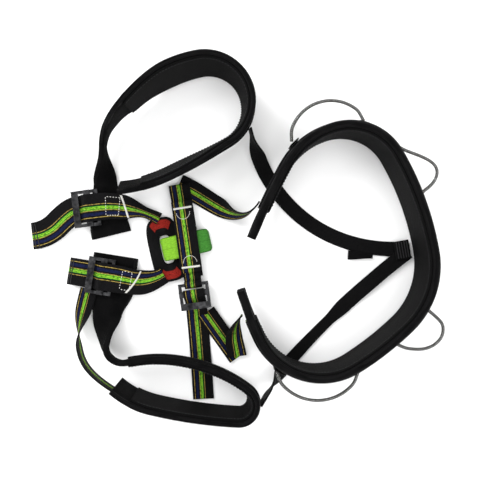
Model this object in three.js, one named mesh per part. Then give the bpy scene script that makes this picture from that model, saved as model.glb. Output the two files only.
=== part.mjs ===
// A tree climbing saddle lying on the floor: waist belt and two leg loops standing on edge,
// webbing straps with adjusters, a belay loop, rear risers and four gear loops.
// Millimetres, +Z up. X is the longest side, from the leg buckles to the back of the belt.
import * as THREE from 'three';

// Driving dimensions
const WEB = 2;               // thickness of webbing
const GAP = 0.3;             // clearance between pieces that touch
const WAIST_WEB = 27;        // width of the waist webbing
const LEG_WEB = 35;          // width of the leg webbing
const RISER_WEB = 19;        // width of the rear risers
const BELAY_WEB = 30;        // width of the belay loop
const BELAY_HALF = 32;       // half the length of the belay loop
const PAD = 11;              // thickness of the belt pad
const LEG_PAD = 8;           // thickness of the leg pads
const LINING = 1.6;          // thickness of the mesh lining
const BELT_HEIGHT = 90;      // height of the belt at the back
const BELT_TIP = 56;         // height of the belt at its tips
const BELT_MID = 45;         // height of the belt's centre line
const GEAR_TUBE = 2.1;       // radius of a gear loop tube
const FRAME_PLATE = 3;       // thickness of a buckle frame
const FRAME_LENGTH = 34;     // length of a buckle frame along its strap
const RAIL = 4;              // width of a buckle frame's hinge rail and side rails
const OUTER_RAIL = 8.5;      // width of the rail that the strap passes under
const LUG = 1;               // thickness of a slider's lugs
const RAIL_Z = 14;           // height of a buckle's hinge rail
const SLIDER_X = -15.6;      // place of a slider's middle along its buckle, from the hinge rail
const ANCHOR_TAIL = 18;      // how far an anchor's tail runs from its hinge rail
const FRONT_LEAN = 13;       // how far the bridge and belay loop lean from square, in degrees

const STANDING = 90;
const LEANING = 82;          // the leg pads lean outwards a little
const FLAT = 0;
const UP = new THREE.Vector3(0, 0, 1);

const saddle = new THREE.Group();

const black = new THREE.MeshStandardMaterial({ color: 0x17161a, roughness: 0.95 });
const mesh = new THREE.MeshStandardMaterial({ color: 0x0d0d10, roughness: 1 });
const striped = new THREE.MeshStandardMaterial({ color: 0x4c6b2c, roughness: 0.85 });
const lime = new THREE.MeshStandardMaterial({ color: 0x6aaa2e, roughness: 0.8 });
const red = new THREE.MeshStandardMaterial({ color: 0xb3202a, roughness: 0.8 });
const orange = new THREE.MeshStandardMaterial({ color: 0xa8642a, roughness: 0.6 });
const metal = new THREE.MeshStandardMaterial({ color: 0x4a4d52, roughness: 0.35, metalness: 0.9 });
const tube = new THREE.MeshStandardMaterial({ color: 0x2a2a2c, roughness: 0.3 });

function add(name, geometry, material, parent = saddle) {
  const piece = new THREE.Mesh(geometry, material);
  piece.name = name;
  parent.add(piece);
  return piece;
}

// A route over the floor: stretches of [length, degrees turned], from a place and a heading.
// A positive turn is to the left, and a turning stretch is part of a circle.
function walk(at, heading, stretches) {
  const path = new THREE.Path();
  path.moveTo(at.x, at.y);
  let angle = THREE.MathUtils.degToRad(heading);
  for (const [length, degrees] of stretches) {
    const { x, y } = path.currentPoint;
    if (degrees === 0) {
      path.lineTo(x + length * Math.cos(angle), y + length * Math.sin(angle));
    } else {
      const turn = THREE.MathUtils.degToRad(degrees);
      const radius = length / Math.abs(turn);
      const spoke = angle - Math.sign(turn) * Math.PI / 2;
      const [centreX, centreY] = [x - radius * Math.cos(spoke), y - radius * Math.sin(spoke)];
      path.absarc(centreX, centreY, radius, spoke, spoke + turn, turn < 0);
      angle += turn;
    }
  }
  return path;
}

// A route between two places, leaving and arriving at the given headings
function link(from, leaving, to, arriving, reach = 0.4) {
  const pull = from.distanceTo(to) * reach;
  const [a, b] = [THREE.MathUtils.degToRad(leaving), THREE.MathUtils.degToRad(arriving)];
  const path = new THREE.Path();
  path.moveTo(from.x, from.y);
  path.bezierCurveTo(
    from.x + pull * Math.cos(a), from.y + pull * Math.sin(a),
    to.x - pull * Math.cos(b), to.y - pull * Math.sin(b), to.x, to.y,
  );
  return path;
}

// The place beside a route at a fraction of its length: a positive distance is to its left
function beside(plan, u, distance) {
  const place = plan.getPoint(u);
  const ahead = plan.getTangent(u);
  return place.add(new THREE.Vector2(-ahead.y, ahead.x).multiplyScalar(distance));
}

// A place given in the axes of another place that is turned by a heading
function turned(origin, heading, x, y) {
  const angle = THREE.MathUtils.degToRad(heading);
  return new THREE.Vector2(x, y).rotateAround(new THREE.Vector2(), angle).add(origin);
}

// A value that changes along a piece: stops are [fraction of length, value]
function along(stops, u) {
  if (typeof stops === 'number') return stops;
  const next = stops.findIndex(([at]) => at >= u);
  if (next === 0) return stops[0][1];
  if (next < 0) return stops[stops.length - 1][1];
  const [u0, v0] = stops[next - 1];
  const [u1, v1] = stops[next];
  return THREE.MathUtils.lerp(v0, v1, THREE.MathUtils.smoothstep(u, u0, u1));
}

function spot({ plan, height }, u) {
  const { x, y } = plan.getPoint(u);
  return new THREE.Vector3(x, y, along(height, u));
}

// The place, width direction and thickness direction at one fraction of a route
function station(route, u, tilt) {
  const step = 0.001;
  const tangent = spot(route, Math.min(1, u + step)).sub(spot(route, Math.max(0, u - step))).normalize();
  const side = new THREE.Vector3().crossVectors(UP, tangent).normalize();
  const face = new THREE.Vector3().crossVectors(tangent, side);
  const angle = THREE.MathUtils.degToRad(along(tilt, u));
  const across = side.clone().multiplyScalar(Math.cos(angle)).addScaledVector(face, Math.sin(angle));
  const through = new THREE.Vector3().crossVectors(tangent, across);
  return { point: spot(route, u), across, through };
}

// A strap or pad: a box bent along a route. steps counts the whole route, so that layers which
// cover part of one route bend at the same stations as the pad under them.
function strap(name, material, route, options, parent = saddle) {
  const { width, thick = WEB, tilt = FLAT, steps = 24, offset = 0, span = [0, 1] } = options;
  const stations = Math.max(4, Math.round(steps * (span[1] - span[0])));
  const geometry = new THREE.BoxGeometry(1, 1, 1, stations, 1, 1);
  const position = geometry.attributes.position;
  const vertex = new THREE.Vector3();
  for (let i = 0; i < position.count; i += 1) {
    vertex.fromBufferAttribute(position, i);
    const u = THREE.MathUtils.lerp(span[0], span[1], THREE.MathUtils.clamp(vertex.x + 0.5, 0, 1));
    const { point, across, through } = station(route, u, tilt);
    point.addScaledVector(across, vertex.y * along(width, u));
    point.addScaledVector(through, vertex.z * thick + offset);
    position.setXYZ(i, point.x, point.y, point.z);
  }
  return add(name, geometry, material, parent);
}

function rectangle(x0, y0, x1, y1, Outline = THREE.Shape) {
  const outline = new Outline();
  outline.moveTo(x0, y0);
  outline.lineTo(x1, y0);
  outline.lineTo(x1, y1);
  outline.lineTo(x0, y1);
  outline.closePath();
  return outline;
}

function extrude(shape, depth, curveSegments = 12) {
  return new THREE.ExtrudeGeometry(shape, { depth, bevelEnabled: false, curveSegments });
}

// ---- Waist belt ----

// From the upper front tip, over the shoulder, round the back and under to the lower front tip
const belt = {
  plan: walk({ x: 14, y: 2 }, 68, [
    [95, -6], [75, -45], [90, -77], [125, -20], [100, -56], [80, -12], [135, -97], [62, -8],
  ]),
  height: BELT_MID,
};
const beltHeight = [
  [0, BELT_TIP], [0.12, 76], [0.3, BELT_HEIGHT], [0.7, BELT_HEIGHT], [0.88, 76], [1, BELT_TIP],
];
const COVERED = [0.05, 0.95];  // share of the belt that the lining and webbing cover
const lined = PAD / 2 + GAP + LINING / 2;
const webbed = PAD / 2 + GAP + WEB / 2;

function waistBelt() {
  const standing = { tilt: STANDING, steps: 60 };
  const liningHeight = beltHeight.map(([u, height]) => [u, height - 8]);
  strap('waist_pad', black, belt, { ...standing, width: beltHeight, thick: PAD });
  strap('waist_lining', mesh, belt, {
    ...standing, width: liningHeight, thick: LINING, offset: lined, span: COVERED,
  });
  strap('waist_webbing', striped, belt, {
    ...standing, width: WAIST_WEB, offset: -webbed, span: COVERED,
  });
}

// ---- Leg loops: a flat end under the buckle, twisting up to stand on edge round the thigh ----

const upperLeg = {
  plan: walk({ x: -166, y: 6 }, 104, [
    [50, -12], [62, -2], [30, -40], [62, -12], [75, -26], [148, -161], [88, -6], [62, -20],
  ]),
  height: [[0, 4.5], [0.09, 4.5], [0.2, 22], [0.3, 38], [0.36, 40.4], [0.6, 39], [0.75, 34]],
};
const lowerLeg = {
  plan: walk({ x: -160, y: -20 }, -99, [
    [60, 0], [54, 16], [40, 96], [60, -20], [50, -14], [50, -16], [50, -146], [105, -10], [56, -28],
  ]),
  height: [[0, 4.5], [0.12, 4.5], [0.28, 34]],
};

function legLoop(side, route, { width, tilt, standing }) {
  strap(`leg_pad_${side}`, black, route, { width, thick: LEG_PAD, tilt, steps: 60 });
  strap(`leg_lining_${side}`, mesh, route, {
    width: width.map(([u, value]) => [u, value - 8]), thick: LINING, tilt, steps: 60,
    offset: LEG_PAD / 2 + 2 * GAP + LINING / 2, span: standing,
  });
  strap(`leg_webbing_${side}`, black, route, {
    width: RISER_WEB, tilt, steps: 60, offset: -(LEG_PAD / 2 + 2 * GAP + WEB / 2), span: standing,
  });
}

function legLoops() {
  legLoop('upper', upperLeg, {
    width: [
      [0, 52], [0.06, 46], [0.12, 30], [0.19, 20], [0.32, 60], [0.42, 78], [0.62, 70], [0.78, 50], [1, 44],
    ],
    tilt: [[0.1, FLAT], [0.2, STANDING], [0.36, LEANING], [0.72, LEANING], [0.88, 70]],
    standing: [0.3, 0.95],
  });
  legLoop('lower', lowerLeg, {
    width: [[0, 58], [0.08, 60], [0.15, 38], [0.22, 26], [0.32, 42], [0.52, 44], [0.64, 57], [1, 57]],
    tilt: [[0.13, FLAT], [0.25, LEANING]],
    standing: [0.3, 0.95],
  });
}

// ---- Buckles: local X runs along the strap, the hinge rail is at X = 0, the outer rail at -X ----

function buckle(side, { at, heading, strapWidth, tail, tailHeight }) {
  const group = new THREE.Group();
  group.position.set(at.x, at.y, 0);
  group.rotation.z = THREE.MathUtils.degToRad(heading);
  saddle.add(group);

  const inside = strapWidth / 2 + LUG + 3 * GAP;
  const half = inside + RAIL;
  const end = RAIL / 2 - FRAME_LENGTH;
  const frame = rectangle(end, -half, RAIL / 2, half);
  frame.holes.push(rectangle(end + OUTER_RAIL, -inside, -RAIL / 2, inside, THREE.Path));
  const frameMesh = add(`buckle_frame_${side}`, extrude(frame, FRAME_PLATE), metal, group);
  frameMesh.position.z = RAIL_Z - FRAME_PLATE / 2;

  // The slider is a staple across the rails, with a lug inside each of them
  const rest = RAIL_Z + FRAME_PLATE / 2 + GAP;
  const slider = new THREE.Shape();
  slider.moveTo(-half, rest);
  slider.lineTo(-inside + GAP, rest);
  slider.lineTo(-inside + GAP, RAIL_Z - 1);
  slider.lineTo(-inside + GAP + LUG, RAIL_Z - 1);
  slider.lineTo(-inside + GAP + LUG, rest);
  slider.lineTo(inside - GAP - LUG, rest);
  slider.lineTo(inside - GAP - LUG, RAIL_Z - 1);
  slider.lineTo(inside - GAP, RAIL_Z - 1);
  slider.lineTo(inside - GAP, rest);
  slider.lineTo(half, rest);
  slider.lineTo(half, rest + 2.4);
  slider.lineTo(-half, rest + 2.4);
  slider.closePath();
  const sliderMesh = add(`buckle_slider_${side}`, extrude(slider, 8), metal, group);
  sliderMesh.rotation.set(Math.PI / 2, Math.PI / 2, 0);
  sliderMesh.position.x = SLIDER_X;

  // The anchor is webbing sewn round the hinge rail, its tail lying on the strap below
  const anchor = new THREE.Shape();
  const outer = 5.2;
  const tailTop = RAIL_Z - outer + WEB;
  const meet = Math.asin((tailTop - RAIL_Z) / outer);
  anchor.absarc(0, RAIL_Z, outer, meet, 1.5 * Math.PI, false);
  anchor.lineTo(ANCHOR_TAIL, RAIL_Z - outer);
  anchor.lineTo(ANCHOR_TAIL, tailTop);
  anchor.closePath();
  const bore = new THREE.Path();
  bore.absarc(0, RAIL_Z, outer - WEB, 0, 2 * Math.PI, true);
  anchor.holes.push(bore);
  const anchorWidth = strapWidth - 5;
  const anchorMesh = add(`buckle_anchor_${side}`, extrude(anchor, anchorWidth), striped, group);
  anchorMesh.rotation.x = Math.PI / 2;
  anchorMesh.position.y = anchorWidth / 2;

  // The strap over the slider dips through the frame, then runs on as its tail
  const over = walk({ x: -6, y: 0 }, 180, [[19, 0], ...tail]);
  const share = (distance) => distance / over.getLength();
  const height = [[0, 20.8], [share(8), 23], [share(17), 10], [share(27), 10], [1, tailHeight]];
  strap(`buckle_strap_${side}`, striped, { plan: over, height }, { width: strapWidth, steps: 28 }, group);
}

// The front line: tie-in webbing, waist buckle and webbing tail lie on one line from top to bottom
const frontLine = walk({ x: -79, y: 72 }, -80, [[280, -7]]);
const WAIST_HINGE = 0.465;   // share of the front line at which the waist buckle hinges

const legUpperBuckle = { at: beside(upperLeg.plan, 0.065, 10), heading: 7 };
const legLowerBuckle = { at: beside(lowerLeg.plan, 0.055, 0), heading: -9 };
const waistBuckle = { at: beside(frontLine, WAIST_HINGE, 0), heading: 98 };

function buckles() {
  buckle('leg_upper', {
    ...legUpperBuckle, strapWidth: LEG_WEB, tail: [[14, 30], [20, 8], [38, -40]], tailHeight: 4,
  });
  buckle('leg_lower', { ...legLowerBuckle, strapWidth: LEG_WEB, tail: [[32, 0]], tailHeight: 7 });
  buckle('waist', { ...waistBuckle, strapWidth: WAIST_WEB, tail: [[6, 0]], tailHeight: 7.5 });
}

// ---- Front straps ----

function tieIn() {
  const base = { plan: frontLine, height: [[0, 5.5], [0.2, 7.5]] };
  strap('tie_in_base', striped, base, { width: WAIST_WEB, steps: 56, span: [0, 0.43] });
  const cover = { plan: frontLine, height: [[0.08, 12.5], [0.16, 16.4], [0.35, 16.2], [0.41, 13.4]] };
  strap('tie_in_cover', striped, cover, { width: WAIST_WEB, steps: 56, span: [0.08, 0.41] });
  const tail = { plan: frontLine, height: [[0.6, 2], [0.75, 1.4]] };
  strap('waist_tail', striped, tail, { width: WAIST_WEB, steps: 56, span: [0.6, 1] });
}

// The upper waist strap turns up on edge to join the belt's outer face behind its tip. The lower
// one runs from the waist buckle to a fold, and back up to the belt's other tip.
function waistStraps() {
  const face = webbed + WEB + GAP;
  const upperEnd = beside(belt.plan, 0.06, face);
  strap('waist_strap_upper', striped, {
    plan: link(frontLine.getPoint(0), -22, upperEnd, 60, 0.42), height: [[0, 2.5], [0.4, 3], [0.9, 38]],
  }, { width: [[0, WAIST_WEB], [0.7, 24], [1, 20]], tilt: [[0.4, FLAT], [0.88, STANDING]] });

  const lower = walk(beside(frontLine, 0.6, 12), -55, [[72, 0]]);
  strap('waist_strap_lower', striped, { plan: lower, height: [[0.3, 5], [1, 2.5]] }, {
    width: 25, steps: 8,
  });
  const lowerEnd = beside(belt.plan, 0.96, face);
  strap('waist_strap_hook', striped, {
    plan: link(lower.getPoint(0.97), 98, lowerEnd, 45), height: [[0, 6], [1, 36]],
  }, { width: [[0, 25], [1, 18]], tilt: [[0.3, FLAT], [1, STANDING]] });
}

// Each leg strap runs from its buckle towards the bridge
function legStraps() {
  for (const [side, { at, heading }, stretches, width] of [
    ['upper', legUpperBuckle, [[22, -10], [58, -26]], [[0, LEG_WEB], [0.35, 32], [0.8, 14], [1, 16]]],
    ['lower', legLowerBuckle, [[22, -4], [46, 46]], [[0, LEG_WEB], [0.5, 32], [1, 22]]],
  ]) {
    const plan = walk(turned(at, heading, 1, 0), heading, stretches);
    strap(`leg_strap_${side}`, striped, { plan, height: [[0, 20.6], [1, 8.2]] }, { width });
  }
  const from = turned(legLowerBuckle.at, legLowerBuckle.heading, -27, -19.5);
  const to = beside(lowerLeg.plan, 0.985, LEG_PAD / 2 + 3 * GAP + WEB / 2);
  const plan = link(from, -106, to, -30, 0.5);
  const adjuster = { plan, height: [[0, 10.3], [0.1, 10.3], [0.7, 30]] };
  strap('leg_adjuster_lower', striped, adjuster, {
    width: [[0, 22], [1, 18]], tilt: [[0.1, FLAT], [0.5, 180 - LEANING]],
  });
}

// ---- Bridge between the leg loops, with its wear liners, and the belay loop ----

// A point on a rounded rectangle of these half sides, at one angle
function roundedPoint([a, b], angle) {
  const corner = 0.55;
  const x = Math.sign(Math.cos(angle)) * Math.abs(Math.cos(angle)) ** corner;
  const y = Math.sign(Math.sin(angle)) * Math.abs(Math.sin(angle)) ** corner;
  return new THREE.Vector2(a * x, b * y);
}

function roundedArc(sides, from, to, count) {
  const step = (to - from) / (count - 1);
  return Array.from({ length: count }, (_, i) => roundedPoint(sides, from + step * i));
}

const BRIDGE_OUTER = [21, 42];   // half sides of the bridge ring
const BRIDGE_INNER = [7.5, 18.4]; // half sides of its hole
const HOLE_SHIFT = 1.5;          // how far the hole lies from the middle, towards the belay loop
const BRIDGE_Z = 3;              // height of the ring's underside
const BELAY_INSET = 4.5;         // how far the belay loop's end lies inside the ring's hole
const LINER_REACH = 0.7;         // how far a wear liner runs each way round the ring, in radians

const bridgeCentre = beside(frontLine, 0.29, -30);

function bridge() {
  const group = new THREE.Group();
  group.position.set(bridgeCentre.x, bridgeCentre.y, 0);
  group.rotation.z = THREE.MathUtils.degToRad(FRONT_LEAN);
  saddle.add(group);
  const turn = 2 * Math.PI * (39 / 40);
  const plate = new THREE.Shape(roundedArc(BRIDGE_OUTER, 0, turn, 40));
  const hole = roundedArc(BRIDGE_INNER, 0, turn, 40);
  hole.forEach((point) => point.setX(point.x + HOLE_SHIFT));
  plate.holes.push(new THREE.Path(hole));
  const ring = add('leg_bridge', extrude(plate, WEB), black, group);
  ring.position.z = BRIDGE_Z;
  for (const [side, sign] of [['upper', 1], ['lower', -1]]) {
    const middle = sign * Math.PI / 2;
    const liner = new THREE.Shape([
      ...roundedArc([18, 39], middle - LINER_REACH, middle + LINER_REACH, 13),
      ...roundedArc([11, 28], middle + LINER_REACH, middle - LINER_REACH, 13),
    ]);
    const wear = add(`wear_liner_${side}`, extrude(liner, 0.8), red, group);
    wear.position.z = BRIDGE_Z + WEB + GAP;
  }
}

// The belay loop is a flattened ring of webbing: it wraps the tie-in base and one side of the bridge
function belayLoop() {
  const half = BELAY_HALF;
  const [low, high] = [0.4, 13.2];
  const loop = racetrack(-half, half, low, high, THREE.Shape);
  loop.holes.push(racetrack(-half + WEB, half - WEB, low + WEB, high - WEB, THREE.Path));
  const group = new THREE.Group();
  const centre = turned(bridgeCentre, FRONT_LEAN, half - BELAY_INSET, 0);
  group.position.set(centre.x, centre.y, 0);
  group.rotation.z = THREE.MathUtils.degToRad(FRONT_LEAN);
  saddle.add(group);
  const piece = add('belay_loop', extrude(loop, BELAY_WEB, 8), lime, group);
  piece.rotation.x = Math.PI / 2;
  piece.position.y = BELAY_WEB / 2;
}

function racetrack(x0, x1, z0, z1, Outline) {
  const outline = new Outline();
  const radius = (z1 - z0) / 2;
  const middle = (z0 + z1) / 2;
  outline.absarc(x1 - radius, middle, radius, -Math.PI / 2, Math.PI / 2, false);
  outline.absarc(x0 + radius, middle, radius, Math.PI / 2, 1.5 * Math.PI, false);
  outline.closePath();
  return outline;
}

// ---- Rear risers from the leg loops to the back of the belt ----

// Both risers end on the lining at the back of the belt, the lower one on top of the upper one
function risers() {
  const leg = LEG_PAD / 2 + 3 * GAP + 1.5 * WEB;
  const inside = PAD / 2 + LINING + 3.4;
  const back = beside(belt.plan, 0.5, -inside);
  const upper = link(beside(upperLeg.plan, 0.69, leg), -76, back, 5, 0.4);
  strap('riser_upper', black, { plan: upper, height: [[0, 34], [0.22, 1.4]] }, {
    width: RISER_WEB, tilt: [[0.03, LEANING], [0.16, FLAT]], steps: 40,
  });
  const lowerEnd = beside(belt.plan, 0.505, -inside - 3);
  const lower = link(beside(lowerLeg.plan, 0.64, leg), 58, lowerEnd, 36, 0.25);
  strap('riser_lower', black, { plan: lower, height: [[0, 30], [0.2, 1.4], [0.62, 1.4], [0.78, 5.2]] }, {
    width: [[0, RISER_WEB], [0.5, 14], [0.6, RISER_WEB]], steps: 40,
    tilt: [[0.06, 180 - LEANING], [0.2, FLAT]],
  });
  const joint = walk(turned(back, 10, -20, 0), 10, [[19, 0]]);
  strap('riser_joint', black, { plan: joint, height: 8.2 }, { width: 24, steps: 4 });
  const tail = walk(turned(back, 0, -80, -8.5), -4, [[32, 0]]);
  strap('riser_tail', black, { plan: tail, height: 4.6 }, { width: [[0, 12], [1, 5]], steps: 4 });
}

// ---- Gear loops: a tube bowed out from two tabs on the belt, its peak moved along by lean ----

const gearLoops = [
  { name: 'front_right', from: 0.165, to: 0.275, reach: 25, lean: 1 },
  { name: 'rear_right', from: 0.335, to: 0.415, reach: 29, lean: 1.7 },
  { name: 'rear_left', from: 0.595, to: 0.665, reach: 34, lean: 0.65 },
  { name: 'front_left', from: 0.74, to: 0.86, reach: 20, lean: 1 },
];
const TAB = 1.6;
const tabOffset = webbed + WEB / 2 + 3 * GAP + TAB / 2;
const tubeStart = tabOffset + TAB / 2 + 2.6;

function outward(u, distance) {
  const { point, through } = station(belt, u, STANDING);
  return point.addScaledVector(through, -distance);
}

function gearLoop({ name, from, to, reach, lean }) {
  const points = [];
  const knots = 10;
  for (let i = 0; i <= knots; i += 1) {
    const share = i / knots;
    const bow = Math.sin(Math.PI * share ** lean) ** 0.7;
    points.push(outward(THREE.MathUtils.lerp(from, to, share), tubeStart + reach * bow));
  }
  const path = new THREE.CatmullRomCurve3(points, false, 'centripetal');
  const section = new THREE.Shape();
  section.absarc(0, 0, GEAR_TUBE, 0, 2 * Math.PI);
  const geometry = new THREE.ExtrudeGeometry(section, { steps: 40, curveSegments: 8, extrudePath: path });
  add(`gear_loop_${name}`, geometry, tube);
  const half = 0.008;
  for (const [end, u] of [['a', from], ['b', to]]) {
    const cloth = end === 'b' && name === 'rear_right' ? orange : black;
    strap(`gear_tab_${name}_${end}`, cloth, belt, {
      width: 34, thick: TAB, tilt: STANDING, steps: 4, offset: -tabOffset, span: [u - half, u + half],
    });
  }
}

waistBelt();
legLoops();
buckles();
tieIn();
waistStraps();
legStraps();
bridge();
belayLoop();
risers();
gearLoops.forEach(gearLoop);

// Stand the saddle on the middle of the underside of its bounding box
const bounds = new THREE.Box3().setFromObject(saddle, true);
const centre = bounds.getCenter(new THREE.Vector3());
saddle.position.set(-centre.x, -centre.y, -bounds.min.z);

export default saddle;
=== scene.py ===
"""A tree climbing saddle lying on a pale floor, seen from straight above.

Pads, webbing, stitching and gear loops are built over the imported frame. Routes are in millimetres
in the layout's own frame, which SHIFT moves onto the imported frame. A route is laid out from lengths
and turns, or links two pieces and leaves and arrives at a heading.
"""
import math
from bisect import bisect

import bpy
from mathutils import Matrix, Vector, noise


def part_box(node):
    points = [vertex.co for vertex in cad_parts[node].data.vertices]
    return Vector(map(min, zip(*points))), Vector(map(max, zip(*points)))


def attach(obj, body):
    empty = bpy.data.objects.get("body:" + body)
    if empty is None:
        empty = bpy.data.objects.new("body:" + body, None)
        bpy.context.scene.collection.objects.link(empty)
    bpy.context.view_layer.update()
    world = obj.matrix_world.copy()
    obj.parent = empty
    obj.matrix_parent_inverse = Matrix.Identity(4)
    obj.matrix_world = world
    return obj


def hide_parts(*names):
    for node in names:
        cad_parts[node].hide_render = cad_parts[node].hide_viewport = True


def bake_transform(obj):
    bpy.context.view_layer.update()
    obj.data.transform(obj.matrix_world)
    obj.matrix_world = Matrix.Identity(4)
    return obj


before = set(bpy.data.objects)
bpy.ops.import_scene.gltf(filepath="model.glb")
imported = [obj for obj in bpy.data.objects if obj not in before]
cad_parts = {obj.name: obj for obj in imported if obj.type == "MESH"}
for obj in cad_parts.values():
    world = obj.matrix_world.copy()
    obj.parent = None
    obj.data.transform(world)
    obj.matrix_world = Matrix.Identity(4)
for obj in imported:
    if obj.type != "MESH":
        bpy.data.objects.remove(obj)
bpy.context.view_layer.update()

MM = 0.001
UP = Vector((0, 0, 1))
# Driving dimensions, in mm
WEB = 2.0
GAP = 0.3
WAIST_WEB = 27.0
LEG_WEB = 35.0
RISER_WEB = 19.0
PAD = 11.0
LEG_PAD = 8.0
LINING = 1.6
BEDDING = 2.4               # how far linings and webbing sink into the pad under them
BELT_MID = 45.0
GEAR_TUBE = 2.1
RAIL_Z = 14.0
ANCHOR_RADIUS = 4.2
ANCHOR_TAIL = 18.0
FRONT_LEAN = 13.0
ON_TOP = WEB / 2 + 0.1      # height of stitches above the middle of a strap
MARGIN = 8.0                # how much lower a lining is than its pad
LOFT_STEP = 3.0             # length of one stretch of a swept mesh
BINDING_LESS = 0.6          # how much smaller an edge tape's radius is than half its pad
STANDING = 90.0
LEANING = 82.0
FLAT = 0.0


# ---- Curves ----

class Line:
    """A line through close points, walked by its length."""

    def __init__(self, points):
        self.points = [Vector(p) for p in points]
        self.reached = [0.0]
        for a, b in zip(self.points, self.points[1:]):
            self.reached.append(self.reached[-1] + (b - a).length)
        self.length = self.reached[-1]

    def point(self, u):
        goal = min(max(u, 0.0), 1.0) * self.length
        i = min(max(bisect(self.reached, goal), 1), len(self.points) - 1)
        start, stop = self.reached[i - 1], self.reached[i]
        return self.points[i - 1].lerp(self.points[i], (goal - start) / (stop - start))

    def tangent(self, u):
        reach = 0.004
        return (self.point(min(u + reach, 1)) - self.point(max(u - reach, 0))).normalized()


class Lie(Line):
    """A plan over the floor together with the height of the piece along it."""

    def __init__(self, plan, height):
        self.plan, self.height, self.length = plan, height, plan.length

    def point(self, u):
        x, y, _ = self.plan.point(u)
        return Vector((x, y, along(self.height, u)))


def walk(at, heading, stretches):
    """A plan laid out as stretches of (length, degrees turned to the left)."""
    angle = math.radians(heading)
    points = [Vector((at[0], at[1], 0))]
    for length, turned_by in stretches:
        steps = max(2, round(length))
        for _ in range(steps):
            middle = angle + math.radians(turned_by) / steps / 2
            points.append(points[-1] + Vector((math.cos(middle), math.sin(middle), 0)) * (length / steps))
            angle += math.radians(turned_by) / steps
    return Line(points)


def link(start, leaving, stop, arriving, reach=0.4):
    """A plan between two places, leaving and arriving at the given headings."""
    pull = (stop - start).length * reach
    a, b = math.radians(leaving), math.radians(arriving)
    first = start + pull * Vector((math.cos(a), math.sin(a), 0))
    last = stop - pull * Vector((math.cos(b), math.sin(b), 0))
    points = []
    for i in range(121):
        t = i / 120
        k = 1 - t
        points.append(k ** 3 * start + 3 * k * k * t * first + 3 * k * t * t * last + t ** 3 * stop)
    return Line(points)


def beside(plan, u, distance):
    """The place beside a plan at a fraction of its length: a positive distance is to its left."""
    return plan.point(u) + UP.cross(plan.tangent(u)) * distance


def turned(origin, heading, x, y, z=0.0):
    """A place given in the axes of another place that is turned by a heading."""
    return Vector(origin) + Matrix.Rotation(math.radians(heading), 3, "Z") @ Vector((x, y, z))


def smooth(knots, samples=600):
    """A centripetal Catmull-Rom curve through knots."""
    knots = [Vector(p) for p in knots]
    last = len(knots) - 1
    points = []
    for n in range(samples + 1):
        place = n * last / samples
        i = min(int(place), last - 1)
        w = place - i
        p1, p2 = knots[i], knots[i + 1]
        p0 = knots[i - 1] if i > 0 else 2 * p1 - p2
        p3 = knots[i + 2] if i + 2 <= last else 2 * p2 - p1
        d0, d1, d2 = ((b - a).length ** 0.5 for a, b in ((p0, p1), (p1, p2), (p2, p3)))
        t1 = ((p1 - p0) / d0 - (p2 - p0) / (d0 + d1) + (p2 - p1) / d1) * d1
        t2 = ((p2 - p1) / d1 - (p3 - p1) / (d1 + d2) + (p3 - p2) / d2) * d1
        c2 = -3 * p1 + 3 * p2 - 2 * t1 - t2
        c3 = 2 * p1 - 2 * p2 + t1 + t2
        points.append(p1 + w * (t1 + w * (c2 + w * c3)))
    return Line(points)


def along(stops, u):
    """A value that changes along a piece: stops are (fraction of length, value)."""
    if isinstance(stops, (int, float)):
        return stops
    if u <= stops[0][0]:
        return stops[0][1]
    for (u0, v0), (u1, v1) in zip(stops, stops[1:]):
        if u <= u1:
            w = (u - u0) / (u1 - u0)
            return v0 + (v1 - v0) * w * w * (3 - 2 * w)
    return stops[-1][1]


class Band:
    """A strap or pad along a route: gives points on and above its surface."""

    def __init__(self, route, width, thick=WEB, tilt=FLAT, offset=0.0, span=(0, 1), across=None, flip=False):
        self.route, self.width, self.thick, self.tilt = route, width, thick, tilt
        self.offset, self.span, self.across, self.flip = offset, span, across, flip
        self.length = route.length * (span[1] - span[0])

    def axes(self, s):
        u = self.span[0] + (self.span[1] - self.span[0]) * s
        tangent = self.route.tangent(u)
        if self.across is not None:
            across = self.across
        else:
            side = UP.cross(tangent).normalized()
            face = tangent.cross(side)
            angle = math.radians(along(self.tilt, u))
            across = side * math.cos(angle) + face * math.sin(angle)
        return self.route.point(u), tangent, across, tangent.cross(across), along(self.width, u)

    def surface(self, s, v, lift):
        """v runs 0 to 1 across, lift is the distance from the middle of the thickness, in mm."""
        point, _, across, through, width = self.axes(s)
        return point + across * ((v - 0.5) * width) + through * (self.offset + lift)


# ---- Meshes ----

def metres(point):
    return (point + SHIFT) * MM


def mesh_object(name, points, faces, uvs=None):
    data = bpy.data.meshes.new(name)
    data.from_pydata([tuple(metres(p)) for p in points], [], faces)
    if uvs:
        layer = data.uv_layers.new(name="UVMap")
        for polygon in data.polygons:
            for loop in polygon.loop_indices:
                layer.data[loop].uv = uvs[data.loops[loop].vertex_index]
    data.polygons.foreach_set("use_smooth", [True] * len(data.polygons))
    data.update()
    piece = bpy.data.objects.new(name, data)
    bpy.context.scene.collection.objects.link(piece)
    return piece


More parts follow.
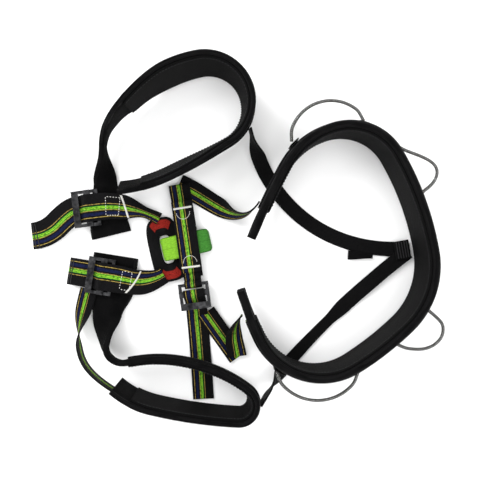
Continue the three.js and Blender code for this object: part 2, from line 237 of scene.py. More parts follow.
def loft(name, band, profile, ripple=0.0, seed=0.0, bulge=None):
    """Sweeps profile, a closed list of (v, share of half thickness), along a band."""
    count = max(6, int(band.length / LOFT_STEP))
    points, uvs, faces = [], [], []
    ring = len(profile)
    for i in range(count + 1):
        s = i / count
        point, _, across, through, width = band.axes(s)
        for v, share in profile:
            lift = share * band.thick / 2
            if bulge:
                lift *= bulge(v)
            place = point + across * ((v - 0.5) * width) + through * (band.offset + lift)
            if ripple:
                place += through * ripple * noise.noise(place * 0.035 + Vector((seed, 0, 0)))
            points.append(place)
            uvs.append((s * band.length * MM, 1 - v if band.flip else v))
    for i in range(count):
        for j in range(ring):
            k = (j + 1) % ring
            faces.append((i * ring + j, i * ring + k, (i + 1) * ring + k, (i + 1) * ring + j))
    faces.append(tuple(reversed(range(ring))))
    faces.append(tuple(range(count * ring, (count + 1) * ring)))
    return mesh_object(name, points, faces, uvs)


def web_profile():
    """Flat webbing with slightly thinner, rounded selvedges."""
    across = (0.0, 0.025, 0.08, 0.25, 0.5, 0.75, 0.92, 0.975, 1.0)
    share = (0.45, 0.85, 1.0, 0.94, 0.94, 0.94, 1.0, 0.85, 0.45)
    lower = [(v, -k) for v, k in zip(across, share)]
    upper = [(v, k) for v, k in zip(across, share)]
    return lower + upper[::-1]


def pad_profile(count=22):
    """A crowned pad whose faces meet in a rounded edge."""
    points = []
    for i in range(2 * count):
        angle = math.pi * i / count
        c, s = math.cos(angle), math.sin(angle)
        v = 0.5 - 0.5 * math.copysign(abs(c) ** 0.35, c)
        points.append((v, -math.copysign(abs(s) ** 0.6, s)))
    return points


def tube(name, route, radius, step=2.0, sides=12):
    """A round tube with closed ends."""
    count = max(8, int(route.length / step))
    points, faces, uvs = [], [], []
    for i in range(count + 1):
        u = i / count
        tangent = route.tangent(u)
        side = UP.cross(tangent).normalized()
        lift = tangent.cross(side)
        for j in range(sides):
            angle = 2 * math.pi * j / sides
            points.append(route.point(u) + (side * math.cos(angle) + lift * math.sin(angle)) * radius)
            uvs.append((u * route.length * MM, j / sides))
    for i in range(count):
        for j in range(sides):
            k = (j + 1) % sides
            faces.append((i * sides + j, i * sides + k, (i + 1) * sides + k, (i + 1) * sides + j))
    faces.append(tuple(reversed(range(sides))))
    faces.append(tuple(range(count * sides, (count + 1) * sides)))
    return mesh_object(name, points, faces, uvs)


def thread_mesh(name, segments, radius):
    """Short six-sided threads, each a (start, end, normal) in mm, bowed a little off the cloth."""
    points, faces = [], []
    sides = 6
    for start, end, normal in segments:
        direction = (end - start).normalized()
        side = normal.cross(direction).normalized()
        base = len(points)
        for t, size, rise in ((0, 0.45, -0.1), (0.2, 1, 0.12), (0.8, 1, 0.12), (1, 0.45, -0.1)):
            middle = start.lerp(end, t) + normal * rise
            for j in range(sides):
                angle = 2 * math.pi * j / sides
                offset = side * math.cos(angle) + normal * math.sin(angle)
                points.append(middle + offset * radius * size)
        for ring in range(3):
            for j in range(sides):
                k = (j + 1) % sides
                a, b = base + ring * sides, base + (ring + 1) * sides
                faces.append((a + j, a + k, b + k, b + j))
        faces.append(tuple(base + j for j in reversed(range(sides))))
        faces.append(tuple(base + 3 * sides + j for j in range(sides)))
    return mesh_object(name, points, faces)


def stitch_row(band, start, stop, v, lift, length=2.6, space=1.4):
    """A row of stitches along a band, from s=start to s=stop."""
    segments = []
    count = int((stop - start) * band.length / (length + space))
    for i in range(count):
        s = start + (stop - start) * i / count
        e = s + length / band.length
        normal = band.axes(s)[3] * math.copysign(1, lift)
        segments.append((band.surface(s, v, lift), band.surface(e, v, lift), normal))
    return segments


def bar_tack(band, s, v0, v1, lift, skew=0.0, rows=2):
    """Close stitches side by side across a band."""
    segments = []
    width = abs(v1 - v0) * band.axes(s)[4]
    count = max(4, int(width / 0.8))
    for i in range(count):
        share = i / (count - 1)
        v = v0 + (v1 - v0) * share
        middle = s + skew * (share - 0.5) / band.length
        half = 0.7 * rows / band.length
        normal = band.axes(middle)[3] * math.copysign(1, lift)
        segments.append((band.surface(middle - half, v, lift), band.surface(middle + half, v, lift), normal))
    return segments


def cross_row(band, s, v0, v1, lift, length=1.8, space=1.4):
    """A row of stitches across a band at one place along it."""
    segments = []
    width = band.axes(s)[4]
    normal = band.axes(s)[3] * math.copysign(1, lift)
    count = max(2, int((v1 - v0) * width / (length + space)))
    for i in range(count):
        v = v0 + (v1 - v0) * (i + 0.2) / count
        segments.append((band.surface(s, v, lift), band.surface(s, v + length / width, lift), normal))
    return segments


def arch(band, s, radius, way, lift, count=15):
    """Stitches round half a circle, whose radius is a share of the width; way is along the band."""
    segments = []
    width = band.axes(s)[4]
    for i in range(count):
        ends = []
        for part in (0.15, 0.85):
            angle = math.pi * (i + part) / count
            place = s + way * radius * width * math.sin(angle) / band.length
            ends.append(band.surface(place, 0.5 + radius * math.cos(angle), lift))
        segments.append((*ends, band.axes(s)[3] * math.copysign(1, lift)))
    return segments


# ---- Materials ----

class Nodes:
    """Short ways to add and join shader nodes."""

    def __init__(self, name, **surface):
        self.material = bpy.data.materials.new(name)
        self.material.use_nodes = True
        self.tree = self.material.node_tree
        self.shader = self.tree.nodes["Principled BSDF"]
        for socket, value in surface.items():
            self.shader.inputs[socket.replace("_", " ")].default_value = value

    def add(self, kind, **settings):
        node = self.tree.nodes.new(kind)
        for key, value in settings.items():
            setattr(node, key, value)
        return node

    def join(self, source, target):
        self.tree.links.new(source, target)

    def math(self, operation, a, b=None):
        node = self.add("ShaderNodeMath", operation=operation)
        for socket, value in zip(node.inputs, (a, b)):
            if value is None:
                continue
            if isinstance(value, (int, float)):
                socket.default_value = value
            else:
                self.join(value, socket)
        return node.outputs[0]

    def uv(self):
        coordinates = self.add("ShaderNodeTexCoord")
        split = self.add("ShaderNodeSeparateXYZ")
        self.join(coordinates.outputs["UV"], split.inputs[0])
        return split.outputs[0], split.outputs[1]

    def noise(self, scale, detail=3.0):
        coordinates = self.add("ShaderNodeTexCoord")
        node = self.add("ShaderNodeTexNoise")
        node.inputs["Scale"].default_value = scale
        node.inputs["Detail"].default_value = detail
        self.join(coordinates.outputs["Object"], node.inputs["Vector"])
        return node.outputs["Fac"]

    def strip_noise(self, along_it, across_it):
        """Noise laid out along a strip rather than in space."""
        place = self.add("ShaderNodeCombineXYZ")
        self.join(along_it, place.inputs[0])
        self.join(across_it, place.inputs[1])
        node = self.add("ShaderNodeTexNoise")
        node.inputs["Scale"].default_value = 1.0
        node.inputs["Detail"].default_value = 4.0
        self.join(place.outputs[0], node.inputs["Vector"])
        return node.outputs["Fac"]

    def ramp(self, value, stops, constant=False):
        node = self.add("ShaderNodeValToRGB")
        node.color_ramp.interpolation = "CONSTANT" if constant else "LINEAR"
        elements = node.color_ramp.elements
        elements.remove(elements[1])
        elements[0].position = stops[0][0]
        elements[0].color = (*stops[0][1], 1)
        for position, colour in stops[1:]:
            elements.new(position).color = (*colour, 1)
        self.join(value, node.inputs[0])
        return node.outputs[0]

    def shade(self, colour, factor):
        """Multiplies a colour by a 0 to 1 value."""
        node = self.add("ShaderNodeMix", data_type="RGBA", blend_type="MULTIPLY")
        node.inputs["Factor"].default_value = 1.0
        self.join(colour, node.inputs["A"])
        self.join(factor, node.inputs["B"])
        return node.outputs["Result"]

    def mix(self, share, first, second):
        """The first colour where share is 0, the second where it is 1."""
        node = self.add("ShaderNodeMix", data_type="RGBA")
        self.join(share, node.inputs["Factor"])
        self.join(first, node.inputs["A"])
        self.join(second, node.inputs["B"])
        return node.outputs["Result"]

    def bump(self, height, distance, strength=1.0):
        node = self.add("ShaderNodeBump")
        node.inputs["Distance"].default_value = distance
        node.inputs["Strength"].default_value = strength
        self.join(height, node.inputs["Height"])
        self.join(node.outputs[0], self.shader.inputs["Normal"])

    def base(self, colour):
        self.join(colour, self.shader.inputs["Base Color"])


BLACK = (0.0022, 0.002, 0.0026)
YELLOW = (0.50, 0.36, 0.08)
LIME = (0.27, 0.62, 0.03)
GREEN = (0.01, 0.13, 0.015)
NAVY = (0.004, 0.008, 0.045)
STRIPES = (
    (0.0, BLACK), (0.39, YELLOW), (0.41, BLACK), (0.455, GREEN), (0.485, LIME), (0.515, GREEN), (0.53, LIME),
    (0.565, GREEN), (0.59, LIME), (0.61, BLACK), (0.625, YELLOW), (0.64, BLACK), (0.70, NAVY), (0.81, BLACK),
    (0.87, YELLOW), (0.89, BLACK),
)


def webbing_material(name, stops, width, dash_shade=0.25, start=None):
    """Woven webbing: ribs along and across, dashes of painted fold shade that break the colour up, and slow
    creases.

    dash_shade is how dark the painted fold shade makes the darkest dashes. start is (length, stops) for a
    first stretch in other colours.
    """
    n = Nodes(name, Roughness=0.6, Specular_IOR_Level=0.09, Sheen_Weight=0.004, Sheen_Roughness=0.5)
    length, across = n.uv()
    rib = n.math("SINE", n.math("MULTIPLY", length, 2 * math.pi / 0.0017))
    yarn = n.math("SINE", n.math("MULTIPLY", across, 2 * math.pi * width / 1.5))
    weave = n.math("MULTIPLY", rib, yarn)
    shadow = n.ramp(n.math("MULTIPLY_ADD", weave, 0.5), ((0.0, (0.55,) * 3), (0.5, (1.0,) * 3)))
    # Painted shade: dashes darkened along the strap stand in for the shade in small folds of the weave.
    dashes = n.strip_noise(n.math("MULTIPLY", length, 320), n.math("MULTIPLY", across, width * 0.9))
    painted_fold_shade = n.ramp(dashes, ((0.36, (dash_shade,) * 3), (0.48, (0.85,) * 3), (0.6, (1.0,) * 3)))
    colour = n.ramp(across, stops, constant=True)
    if start:
        change = n.math("GREATER_THAN", length, start[0])
        colour = n.mix(change, n.ramp(across, start[1], constant=True), colour)
    n.base(n.shade(n.shade(colour, shadow), painted_fold_shade))
    creases = n.math("MULTIPLY", n.noise(110, 3), 3.0)
    n.bump(n.math("ADD", n.math("MULTIPLY", weave, 0.4), creases), 0.0008, 0.8)
    return n.material


def pad_material():
    """Matt black cover cloth: a fine plain weave over slow creases, paler where it has rubbed."""
    n = Nodes("pad_cloth", Roughness=0.9, Specular_IOR_Level=0.06, Sheen_Weight=0.003, Sheen_Roughness=0.6)
    length, across = n.uv()
    warp = n.math("SINE", n.math("MULTIPLY", length, 2 * math.pi / 0.0012))
    weft = n.math("SINE", n.math("MULTIPLY", across, 2 * math.pi * 60))
    weave = n.math("MULTIPLY", warp, weft)
    rubbed = n.ramp(n.noise(45, 5), ((0.35, (0.0012, 0.0012, 0.0014)), (0.7, (0.0042, 0.004, 0.0042))))
    n.base(rubbed)
    height = n.math("ADD", n.math("MULTIPLY", weave, 0.25), n.math("MULTIPLY", n.noise(80, 5), 2.6))
    n.bump(height, 0.0012, 0.9)
    return n.material


def spacer_material():
    """Open knitted spacer mesh: rows of small cells between raised ribs, with painted shade in the cells."""
    n = Nodes("spacer_mesh", Roughness=0.8, Specular_IOR_Level=0.08, Sheen_Weight=0.003, Sheen_Roughness=0.4)
    length, across = n.uv()
    rows = n.math("SINE", n.math("MULTIPLY", length, 2 * math.pi / 0.0034))
    columns = n.math("SINE", n.math("MULTIPLY", across, 2 * math.pi * 22))
    cells = n.math("MULTIPLY", rows, columns)
    # Painted shade: the cells, which are the low places of the bump, are given a darker colour.
    n.base(n.ramp(cells, ((0.1, (0.0006, 0.0006, 0.0007)), (0.6, (0.005, 0.0048, 0.0052)))))
    height = n.math("ADD", cells, n.math("MULTIPLY", n.noise(500), 0.5))
    n.bump(height, 0.0008, 0.9)
    return n.material


def metal_material():
    """Dark satin steel, brighter where the webbing has polished it."""
    n = Nodes("buckle_steel", Metallic=0.95)
    polish = n.noise(160, 5)
    n.base(n.ramp(polish, ((0.35, (0.006, 0.006, 0.0065)), (0.7, (0.035, 0.035, 0.037)))))
    n.join(n.ramp(polish, ((0.3, (0.42,) * 3), (0.7, (0.22,) * 3))), n.shader.inputs["Roughness"])
    n.bump(n.noise(1400, 2), 0.00008, 0.5)
    return n.material


def tube_material():
    """Clear flexible tube."""
    n = Nodes("clear_tube", Roughness=0.12, Transmission_Weight=0.92, IOR=1.38)
    n.base(n.ramp(n.noise(60), ((0.3, (0.80, 0.80, 0.76)), (0.7, (0.95, 0.95, 0.92)))))
    n.bump(n.noise(300), 0.0001, 0.4)
    return n.material


def thread_material(name, colour):
    n = Nodes(name, Roughness=0.7)
    darker = tuple(c * 0.6 for c in colour)
    n.base(n.ramp(n.noise(1600), ((0.3, darker), (0.7, colour))))
    n.bump(n.noise(3000), 0.0001, 0.6)
    return n.material


def plain_stops(colour):
    dark = tuple(c * 0.6 for c in colour)
    return ((0.0, dark), (0.04, colour), (0.49, dark), (0.51, colour), (0.96, dark))


MATERIALS = {
    "striped_webbing": webbing_material("striped_webbing", STRIPES, WAIST_WEB),
    "black_webbing": webbing_material("black_webbing", plain_stops((0.003, 0.0028, 0.0032)), RISER_WEB),
    "lime_webbing": webbing_material("lime_webbing", plain_stops((0.22, 0.50, 0.03)), WAIST_WEB, dash_shade=0.7,
                                     start=(0.042, plain_stops((0.05, 0.22, 0.03)))),
    "red_webbing": webbing_material("red_webbing", plain_stops((0.30, 0.018, 0.012)), RISER_WEB),
    "orange_webbing": webbing_material("orange_webbing", plain_stops((0.30, 0.09, 0.02)), RISER_WEB),
    "pad_fabric": pad_material(),
    "spacer_mesh": spacer_material(),
    "buckle_metal": metal_material(),
    "loop_tube": tube_material(),
}
WHITE_THREAD = thread_material("white_thread", (0.75, 0.74, 0.70))
DARK_THREAD = thread_material("dark_thread", (0.012, 0.012, 0.014))


def finish_piece(piece, slot, body, *nodes):
    """Gives a piece its material and slot, and settles which body it rides and which nodes it replaces."""
    piece.data.materials.append(MATERIALS[slot])
    if isinstance(body, str):
        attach(piece, body)
    else:
        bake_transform(piece)
    if nodes:
        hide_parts(*nodes)
    return piece


def sew(name, segments, body="harness", material=WHITE_THREAD, radius=0.42):
    piece = thread_mesh(name, segments, radius)
    piece.data.materials.append(material)
    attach(piece, body)


def strap(name, band, slot="striped_webbing", body="harness", nodes=None):
    piece = loft(name + "_web", band, web_profile())
    return finish_piece(piece, slot, body, *(nodes or (name,)))


# ---- Waist belt and leg loops ----

BELT = Lie(walk((14, 2), 68, (
    (95, -6), (75, -45), (90, -77), (125, -20), (100, -56), (80, -12), (135, -97), (62, -8),
)), BELT_MID)
BELT_HEIGHT = ((0, 56), (0.12, 76), (0.3, 90), (0.7, 90), (0.88, 76), (1, 56))
COVERED = (0.05, 0.95)
WEBBED = PAD / 2 + GAP + WEB / 2
UPPER_LEG = Lie(walk((-166, 6), 104, (
    (50, -12), (62, -2), (30, -40), (62, -12), (75, -26), (148, -161), (88, -6), (62, -20),
)), ((0, 4.5), (0.09, 4.5), (0.2, 22), (0.3, 38), (0.36, 40.4), (0.6, 39), (0.75, 34)))
LOWER_LEG = Lie(walk((-160, -20), -99, (
    (60, 0), (54, 16), (40, 96), (60, -20), (50, -14), (50, -16), (50, -146), (105, -10), (56, -28),
)), ((0, 4.5), (0.12, 4.5), (0.28, 34)))
LEGS = {
    "upper": (
        UPPER_LEG,
        (
            (0, 52), (0.06, 46), (0.12, 30), (0.19, 20), (0.32, 60),
            (0.42, 78), (0.62, 70), (0.78, 50), (1, 44),
        ),
        ((0.1, FLAT), (0.2, STANDING), (0.36, LEANING), (0.72, LEANING), (0.88, 70)),
    ),
    "lower": (
        LOWER_LEG,
        ((0, 58), (0.08, 60), (0.15, 38), (0.22, 26), (0.32, 42), (0.52, 44), (0.64, 57), (1, 57)),
        ((0.13, FLAT), (0.25, LEANING)),
    ),
}
FRONT_LINE = walk((-79, 72), -80, ((280, -7),))

# Belay loop and bridge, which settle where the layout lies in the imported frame
BRIDGE_CENTRE = beside(FRONT_LINE, 0.29, -30)
BRIDGE_Z = 3.0
BELAY_WEB = 30.0
BELAY_HALF = 32.0
BELAY_INSET = 4.5
BELAY_LOW = 0.4
BELAY_HIGH = 13.2
BELAY_MID = (BELAY_LOW + BELAY_HIGH) / 2
BELAY_CENTRE = turned(BRIDGE_CENTRE, FRONT_LEAN, BELAY_HALF - BELAY_INSET, 0, BELAY_MID)
LOW_CORNER, HIGH_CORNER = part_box("belay_loop")
SHIFT = (LOW_CORNER + HIGH_CORNER) / 2 / MM - BELAY_CENTRE


def less(stops, amount):
    return tuple((u, value - amount) for u, value in stops)


def quilting(rows):
    """Foam swells between sewn channels that run along the pad."""
    def bulge(v):
        channel = abs(math.sin(math.pi * rows * v))
        return 0.80 + 0.20 * min(1.0, channel * 2.2)
    return bulge


def padded_ring(name, lining, webbing, route, height, tilt, thick, gap, covered):
    band = Band(route, height, thick, tilt)
    pad = loft(name + "_cover", band, pad_profile(), ripple=0.7, seed=2.0, bulge=quilting(rows=3))
    finish_piece(pad, "pad_fabric", "harness", name)
    bedded = LINING + BEDDING
    inner = Band(route, less(height, MARGIN), bedded, tilt, thick / 2 + gap + LINING - bedded / 2, covered)
    face = loft(lining + "_face", inner, web_profile())
    finish_piece(face, "spacer_mesh", "harness", lining)
    node, width, slot = webbing
    sunk = WEB + BEDDING
    outer = Band(route, width, sunk, tilt, -(thick / 2 + gap + WEB - sunk / 2), covered)
    strap(node, outer, slot=slot)
    for edge, v in (("low", 0.0), ("high", 1.0)):
        binding(f"{name}_binding_{edge}", band, v)
    rows = []
    for v in (0.06, 0.94):
        rows += stitch_row(inner, 0.01, 0.98, v, bedded / 2 + 0.1)
    sew(f"{lining}_stitches", rows, material=DARK_THREAD, radius=0.35)


def binding(name, band, v):
    """Tape folded over a pad's long edge."""
    radius = band.thick / 2 - BINDING_LESS
    inset = radius if v < 0.5 else -radius
    points = []
    for i in range(81):
        point, _, across, _, width = band.axes(i / 80)
        points.append(point + across * ((v - 0.5) * width + inset))
    piece = tube(name, smooth(points), radius, step=4.0, sides=10)
    finish_piece(piece, "black_webbing", "harness")


def pads():
    belt_webbing = ("waist_webbing", WAIST_WEB, "striped_webbing")
    padded_ring("waist_pad", "waist_lining", belt_webbing, BELT, BELT_HEIGHT, STANDING, PAD, GAP, COVERED)
    for side, (route, height, tilt) in LEGS.items():
        leg_webbing = (f"leg_webbing_{side}", RISER_WEB, "black_webbing")
        padded_ring(f"leg_pad_{side}", f"leg_lining_{side}", leg_webbing, route, height, tilt, LEG_PAD,
                    2 * GAP, (0.3, 0.95))


# ---- Buckles and the straps threaded through them ----

class Buckle:
    """Where a buckle hinges, its heading, its strap's width, and how the tail runs on from it."""

    def __init__(self, at, heading, width, tail, tail_height):
        self.at, self.heading, self.width = at, heading, width
        self.tail, self.tail_height = tail, tail_height

    def place(self, x, y, z):
        return turned(self.at, self.heading, x, y, z)

    def over_slider(self):
        """Points along the strap from the slider, down through the frame, to the end of its tail."""
        plan = walk((-6, 0), 180, ((19, 0), *self.tail))
        height = [(distance / plan.length, z) for distance, z in ((0, 20.8), (8, 23), (17, 10), (27, 10))]
        height.append((1, self.tail_height))
        route = Lie(plan, height)
        return [self.place(*route.point(i / 30)) for i in range(31)]


BUCKLES = {
    "leg_upper": Buckle(beside(UPPER_LEG.plan, 0.065, 10), 7, LEG_WEB, ((14, 30), (20, 8), (38, -40)), 4),
    "leg_lower": Buckle(beside(LOWER_LEG.plan, 0.055, 0), -9, LEG_WEB, ((32, 0),), 7),
    "waist": Buckle(beside(FRONT_LINE, 0.465, 0), 98, WAIST_WEB, ((6, 0),), 7.5),
}


def blend_range(side, body, near, far):
    buckle = BUCKLES[side]
    return ("harness", body, metres(buckle.place(*near)), metres(buckle.place(*far)))


def buckle_metal(side):
    """The steel keeps its CAD shape, with its edges rounded."""
    for kind in ("frame", "slider"):
        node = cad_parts[f"buckle_{kind}_{side}"]
        node.data.materials.clear()
        node.data.materials.append(MATERIALS["buckle_metal"])
        bevel = node.modifiers.new("edges", "BEVEL")
        bevel.width = 0.6 * MM
        bevel.segments = 3
        bevel.limit_method = "ANGLE"


def buckle_anchor(side):
    """Webbing sewn round the hinge rail."""
    buckle = BUCKLES[side]
    low = RAIL_Z - ANCHOR_RADIUS
    local = [(ANCHOR_TAIL, low), (10, low)]
    for i in range(10):
        angle = math.radians(-80 - 30 * i)
        local.append((ANCHOR_RADIUS * math.cos(angle), RAIL_Z + ANCHOR_RADIUS * math.sin(angle)))
    route = smooth([buckle.place(x, 0, z) for x, z in local])
    sideways = buckle.place(0, 1, 0) - buckle.place(0, 0, 0)
    band = Band(route, buckle.width - 5, WEB - 0.2, across=sideways)
    strap(f"buckle_anchor_{side}", band)


def leg_front(side, stretches, widths, body, flip, skew):
    """The leg strap in one length: from the bridge over the slider, under the outer rail, to the tail."""
    buckle = BUCKLES[f"leg_{side}"]
    inner = Lie(walk(buckle.place(1, 0, 0), buckle.heading, stretches), ((0, 20.6), (1, 8.2)))
    points = [inner.point(1 - i / 20) for i in range(21)]
    route = smooth(points + buckle.over_slider(), samples=1200)
    reach = inner.length / route.length
    width = (*((share * reach, value) for share, value in widths), (1, LEG_WEB))
    band = Band(route, width, WEB, flip=flip)
    motion = blend_range(f"leg_{side}", body, (1, 0, 20), (-8, 0, 20))
    strap(f"leg_front_{side}", band, body=motion, nodes=(f"leg_strap_{side}", f"buckle_strap_leg_{side}"))
    tack = reach * 0.58
    sew(f"leg_front_{side}_tack", bar_tack(band, tack, 0.06, 0.94, ON_TOP, skew=skew, rows=2))
    box = []
    for v in (0.15, 0.85):
        box += stitch_row(band, tack + 0.04, tack + 0.13, v, ON_TOP, 1.8, 1.4)
    for s in (tack + 0.04, tack + 0.13):
        box += cross_row(band, s, 0.15, 0.85, ON_TOP)
    sew(f"leg_front_{side}_box", box)
    hem = []
    for s in (0.965, 0.985):
        hem += bar_tack(band, s, 0.06, 0.94, ON_TOP, rows=1)
    sew(f"leg_front_{side}_hem", hem, body=body, material=DARK_THREAD)


def buckles():
    for side in BUCKLES:
        buckle_metal(side)
        buckle_anchor(side)
    upper_widths = ((0, 16), (0.2, 14), (0.65, 32), (1, LEG_WEB))
    leg_front("upper", ((22, -10), (58, -26)), upper_widths, "leg_buckle_upper", False, -13)
    lower_widths = ((0, 22), (0.5, 32), (1, LEG_WEB))
    leg_front("lower", ((22, -4), (46, 46)), lower_widths, "leg_buckle_lower", True, 16)
    tail = Lie(FRONT_LINE, ((0.6, 2), (0.75, 1.4)))
    points = [tail.point(1 - 0.37 * i / 20) for i in range(21)]
    route = smooth(points + BUCKLES["waist"].over_slider()[::-1], samples=1200)
    motion = blend_range("waist", "waist_buckle", (-36, 0, 5), (-28, 0, 9))
    strap("waist_tail", Band(route, WAIST_WEB), body=motion, nodes=("waist_tail", "buckle_strap_waist"))


# ---- Front straps ----

def front_straps():
    base = Lie(FRONT_LINE, ((0, 5.5), (0.2, 7.5)))
    strap("tie_in_base", Band(base, WAIST_WEB, span=(0, 0.43), flip=True))
    over = Lie(FRONT_LINE, ((0.08, 12.5), (0.16, 16.4), (0.35, 16.2), (0.41, 13.4)))
    cover = Band(over, WAIST_WEB, span=(0.08, 0.41), flip=True)
    strap("tie_in_cover", cover)
    tacks = []
    for bar, foot, way in ((0.1, 0.16, 1), (0.92, 0.86, -1)):
        tacks += bar_tack(cover, bar, 0.08, 0.92, ON_TOP, rows=2)
        tacks += arch(cover, foot, 0.32, way, ON_TOP)
    sew("tie_in_tacks", tacks)

    face = WEBBED + WEB + GAP
    upper = Lie(link(FRONT_LINE.point(0), -22, beside(BELT.plan, 0.06, face), 60, 0.42),
                ((0, 2.5), (0.4, 3), (0.9, 38)))
    strap("waist_strap_upper", Band(upper, ((0, WAIST_WEB), (0.7, 24), (1, 20)),
                                    tilt=((0.4, FLAT), (0.88, STANDING)), flip=True))
    lower = walk(beside(FRONT_LINE, 0.6, 12), -55, ((72, 0),))
    strap("waist_strap_lower", Band(Lie(lower, ((0.3, 5), (1, 2.5))), 25, flip=True))
    hook = Lie(link(lower.point(0.97), 98, beside(BELT.plan, 0.96, face), 45), ((0, 6), (1, 36)))
    strap("waist_strap_hook", Band(hook, ((0, 25), (1, 18)), tilt=((0.3, FLAT), (1, STANDING)), flip=True))

    start = BUCKLES["leg_lower"].place(-27, -19.5, 0)
    stop = beside(LOWER_LEG.plan, 0.985, LEG_PAD / 2 + 3 * GAP + WEB / 2)
    adjuster = Lie(link(start, -106, stop, -30, 0.5), ((0, 10.3), (0.1, 10.3), (0.7, 30)))
    strap("leg_adjuster_lower", Band(adjuster, ((0, 22), (1, 18)), tilt=((0.1, FLAT), (0.5, 180 - LEANING)),
                                     flip=True))


# ---- Bridge, wear liners and belay loop ----

BRIDGE_OUTER = (21, 42)
BRIDGE_INNER = (7.5, 18.4)
HOLE_SHIFT = 1.5
LINER_REACH = 0.7


def rounded(sides, angle):
    """A point on a rounded rectangle of these half sides."""
    corner = 0.55
    c, s = math.cos(angle), math.sin(angle)
    x = math.copysign(abs(c) ** corner, c)
    y = math.copysign(abs(s) ** corner, s)
    return Vector((sides[0] * x, sides[1] * y))


def flat_ring(name, outer, inner, z, thick, shift=0.0, start=0.0, stop=2 * math.pi, count=80):
    """A flat band of webbing between two rounded rectangles, or part of one; shift moves the inner one."""
    whole = stop - start > 6.28
    rings = count if whole else count + 1
    rows = ((0, -0.4), (0.08, -1), (0.5, -0.94), (0.92, -1), (1, -0.4),
            (1, 0.4), (0.92, 1), (0.5, 0.94), (0.08, 1), (0, 0.4))
    points, uvs, faces = [], [], []
    for i in range(rings):
        angle = start + (stop - start) * i / count
        edge, hole = rounded(outer, angle), rounded(inner, angle) + Vector((shift, 0))
        for v, share in rows:
            place = edge.lerp(hole, v)
            points.append(turned(BRIDGE_CENTRE, FRONT_LEAN, place.x, place.y, z + share * thick / 2))
            uvs.append((angle * 0.03, v))
    ring = len(rows)
    for i in range(rings if whole else rings - 1):
        n = (i + 1) % rings
        for j in range(ring):
            k = (j + 1) % ring
            faces.append((i * ring + k, i * ring + j, n * ring + j, n * ring + k))
    if not whole:
        faces.append(tuple(range(ring)))
        faces.append(tuple((rings - 1) * ring + j for j in reversed(range(ring))))
    return mesh_object(name, points, faces, uvs)


def bridge():
    piece = flat_ring("bridge_band", BRIDGE_OUTER, BRIDGE_INNER, BRIDGE_Z + WEB / 2, WEB, HOLE_SHIFT)
    finish_piece(piece, "black_webbing", "harness", "leg_bridge")
    thick = 0.8
    z = BRIDGE_Z + WEB + GAP + thick / 2
    for side, sign in (("upper", 1), ("lower", -1)):
        middle = sign * math.pi / 2
        liner = flat_ring(f"liner_{side}", (18, 39), (11, 28), z, thick, 0, middle - LINER_REACH,
                          middle + LINER_REACH, 20)
        finish_piece(liner, "red_webbing", "harness", f"wear_liner_{side}")


def belay():
    """A flattened ring of webbing, from under its right end, over the top and back underneath."""
    radius = (BELAY_HIGH - BELAY_LOW - WEB) / 2
    straight = BELAY_HALF - radius - WEB / 2
    place = []
    for start, end in ((-90, straight), (90, -straight)):
        for i in range(9):
            angle = math.radians(start + 22.5 * i)
            place.append(turned(BELAY_CENTRE, FRONT_LEAN, end + radius * math.cos(angle), 0,
                                radius * math.sin(angle)))
    place.append(place[0])
    sideways = turned((0, 0, 0), FRONT_LEAN, 0, 1)
    width = (
        (0, BELAY_WEB), (0.02, 29), (0.062, 23), (0.1, 29), (0.13, BELAY_WEB),
        (0.5, BELAY_WEB), (0.562, 28), (0.63, BELAY_WEB),
    )
    band = Band(smooth(place), width, WEB, across=sideways)
    strap("belay_loop", band, slot="lime_webbing", body="belay")
    rows = []
    for v in (0.12, 0.88):
        rows += stitch_row(band, 0.52, 0.93, v, -ON_TOP)
    sew("belay_stitches", rows, body="belay", material=thread_material("green_thread", (0.10, 0.30, 0.03)))


# ---- Rear risers ----

def risers():
    leg = LEG_PAD / 2 + 3 * GAP + 1.5 * WEB
    inside = PAD / 2 + LINING + 3.4
    back = beside(BELT.plan, 0.5, -inside)
    upper = Lie(link(beside(UPPER_LEG.plan, 0.69, leg), -76, back, 5, 0.4), ((0, 34), (0.22, 1.4)))
    strap("riser_upper", Band(upper, RISER_WEB, tilt=((0.03, LEANING), (0.16, FLAT))),
          slot="black_webbing")
    end = beside(BELT.plan, 0.505, -inside - 3)
    lower = Lie(link(beside(LOWER_LEG.plan, 0.64, leg), 58, end, 36, 0.25),
                ((0, 30), (0.2, 1.4), (0.62, 1.4), (0.78, 5.2)))
    strap("riser_lower", Band(lower, ((0, RISER_WEB), (0.5, 14), (0.6, RISER_WEB)),
                              tilt=((0.06, 180 - LEANING), (0.2, FLAT))), slot="black_webbing")
    joint = Band(Lie(walk(turned(back, 10, -20, 0), 10, ((19, 0),)), 8.2), 24)
    strap("riser_joint", joint, slot="black_webbing")
    ribs = []
    for s in (0.15, 0.32, 0.5, 0.68, 0.85):
        ribs += bar_tack(joint, s, 0.08, 0.92, ON_TOP, rows=1)
    sew("riser_joint_ribs", ribs, material=DARK_THREAD)
    tail = Lie(walk(turned(back, 0, -80, -8.5), -4, ((32, 0),)), 4.6)
    strap("riser_tail", Band(tail, ((0, 12), (1, 5))), slot="black_webbing")


# ---- Gear loops ----

GEAR = (
    ("front_right", 0.165, 0.275, 25, 1.0), ("rear_right", 0.335, 0.415, 29, 1.7),
    ("rear_left", 0.595, 0.665, 34, 0.65), ("front_left", 0.74, 0.86, 20, 1.0),
)
TAB = 1.6
TAB_HALF = 0.008    # half the length of a tab, as a share of the belt
TAB_OFFSET = WEBBED + WEB / 2 + 3 * GAP + TAB / 2
TUBE_START = TAB_OFFSET + TAB / 2 + 2.6


def outward(u, distance):
    band = Band(BELT, 10, tilt=STANDING)
    return band.surface(u, 0.5, -distance)


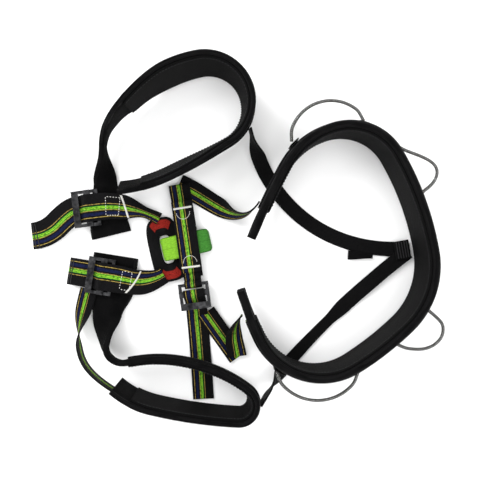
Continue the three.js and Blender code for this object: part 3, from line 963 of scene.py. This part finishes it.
def gear_loops():
    for name, start, stop, reach, lean in GEAR:
        knots = 10
        points = []
        for i in range(knots + 1):
            share = i / knots
            bow = max(0.0, math.sin(math.pi * share ** lean)) ** 0.7
            points.append(outward(start + (stop - start) * share, TUBE_START + reach * bow))
        route = smooth(points)
        skin = tube(f"gear_tube_{name}", route, GEAR_TUBE)
        finish_piece(skin, "loop_tube", f"gear_{name}", f"gear_loop_{name}")
        core = tube(f"gear_core_{name}", route, 0.75 * GEAR_TUBE)
        finish_piece(core, "black_webbing", f"gear_{name}")
        for end, u in (("a", start), ("b", stop)):
            slot = "orange_webbing" if (name, end) == ("rear_right", "b") else "black_webbing"
            band = Band(BELT, 34, TAB, STANDING, -TAB_OFFSET, (u - TAB_HALF, u + TAB_HALF))
            strap(f"gear_tab_{name}_{end}", band, slot=slot)


# ---- Stage ----

def stage():
    bpy.ops.mesh.primitive_plane_add(size=8, location=(0, 0, -0.0005))
    floor = bpy.context.object
    floor.name = "floor"
    pale = bpy.data.materials.new("floor_pale")
    pale.use_nodes = True
    pale.node_tree.nodes["Principled BSDF"].inputs["Base Color"].default_value = (0.93, 0.93, 0.93, 1)
    pale.node_tree.nodes["Principled BSDF"].inputs["Roughness"].default_value = 0.9
    floor.data.materials.append(pale)
    for name, place, size, power in (
        ("key", (-1.2, 1.0, 1.5), 1.0, 30),
        ("fill", (1.3, -0.9, 1.5), 1.2, 18),
        ("top", (0, 0, 2.4), 2.0, 26),
    ):
        lamp = bpy.data.lights.new(name, "AREA")
        lamp.size = size
        lamp.energy = power
        light = bpy.data.objects.new(name, lamp)
        light.location = place
        light.rotation_euler = (-Vector(place)).to_track_quat("-Z", "Y").to_euler()
        bpy.context.scene.collection.objects.link(light)
    world = bpy.data.worlds.new("studio")
    world.use_nodes = True
    world.node_tree.nodes["Background"].inputs[0].default_value = (1, 1, 1, 1)
    world.node_tree.nodes["Background"].inputs[1].default_value = 0.95
    bpy.context.scene.world = world
    bpy.context.scene.view_settings.view_transform = "Standard"


def camera():
    """Straight down from above the middle of the layout."""
    height = 923.0
    half_view = 312.0
    data = bpy.data.cameras.new("camera")
    data.angle = 2 * math.atan(half_view / height)
    eye = bpy.data.objects.new("camera", data)
    eye.location = metres(Vector((0, 0, height)))
    bpy.context.scene.collection.objects.link(eye)
    bpy.context.scene.camera = eye


camera()
stage()
pads()
buckles()
front_straps()
bridge()
belay()
risers()
gear_loops()
